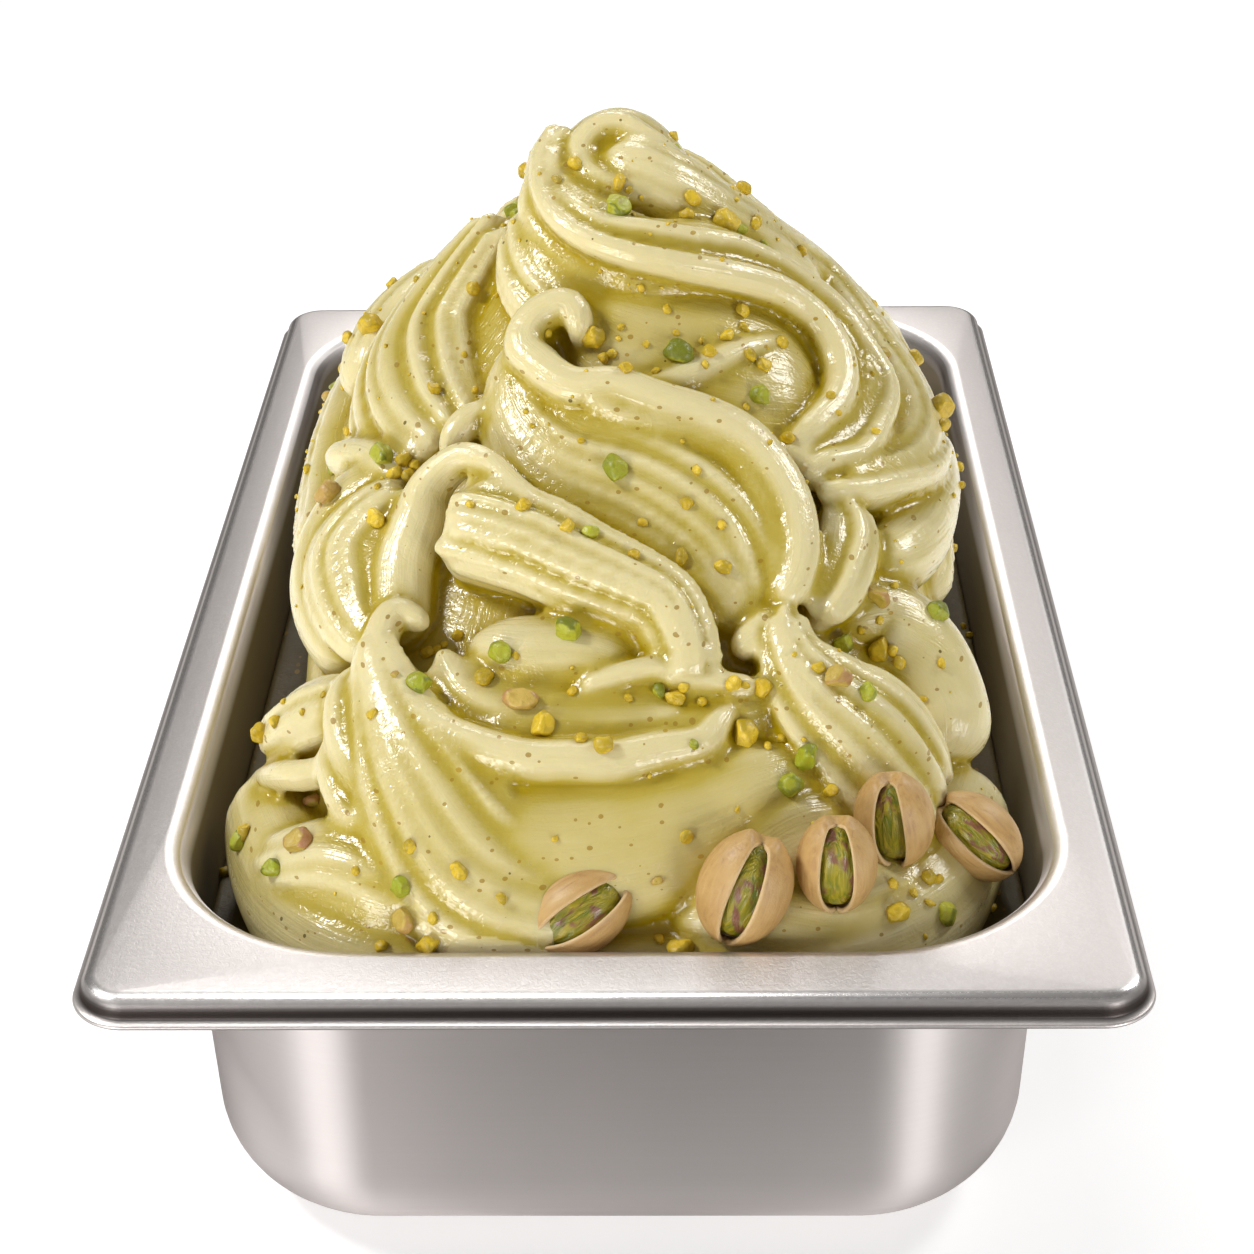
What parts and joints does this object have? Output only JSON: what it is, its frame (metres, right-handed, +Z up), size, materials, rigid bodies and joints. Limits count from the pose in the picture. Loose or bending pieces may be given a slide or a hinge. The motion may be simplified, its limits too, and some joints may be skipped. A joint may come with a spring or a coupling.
{
  "type": "gelato pan",
  "caption": "Rectangular stainless pan with a rolled flange, heaped with pistachio gelato in swirled ribbed folds, chopped nut pieces and split pistachios in the shell",
  "frame": {"origin": "centre of the pan's flat base, which is the bottom centre of the whole", "axes": "+X across the pan to the right, +Y along the pan to the back, +Z up"},
  "size_m": [0.162, 0.265, 0.1546],
  "materials": {
    "pan_steel": "satin sheet steel with polished edges",
    "gelato": "wet, soft pale green gelato with fine ribs",
    "nut_shell": "dry matt shell with faint streaks",
    "nut_kernel": "green nut with red-brown skin patches"
  },
  "bodies": {
    "root": {"pan": "pan_steel", "gelato": "gelato", "pistachio_shell_1": "nut_shell", "pistachio_shell_2": "nut_shell", "pistachio_shell_3": "nut_shell", "pistachio_shell_4": "nut_shell", "pistachio_shell_5": "nut_shell", "pistachio_kernel_1": "nut_kernel", "pistachio_kernel_2": "nut_kernel", "pistachio_kernel_3": "nut_kernel", "pistachio_kernel_4": "nut_kernel", "pistachio_kernel_5": "nut_kernel"}
  },
  "joints": []
}
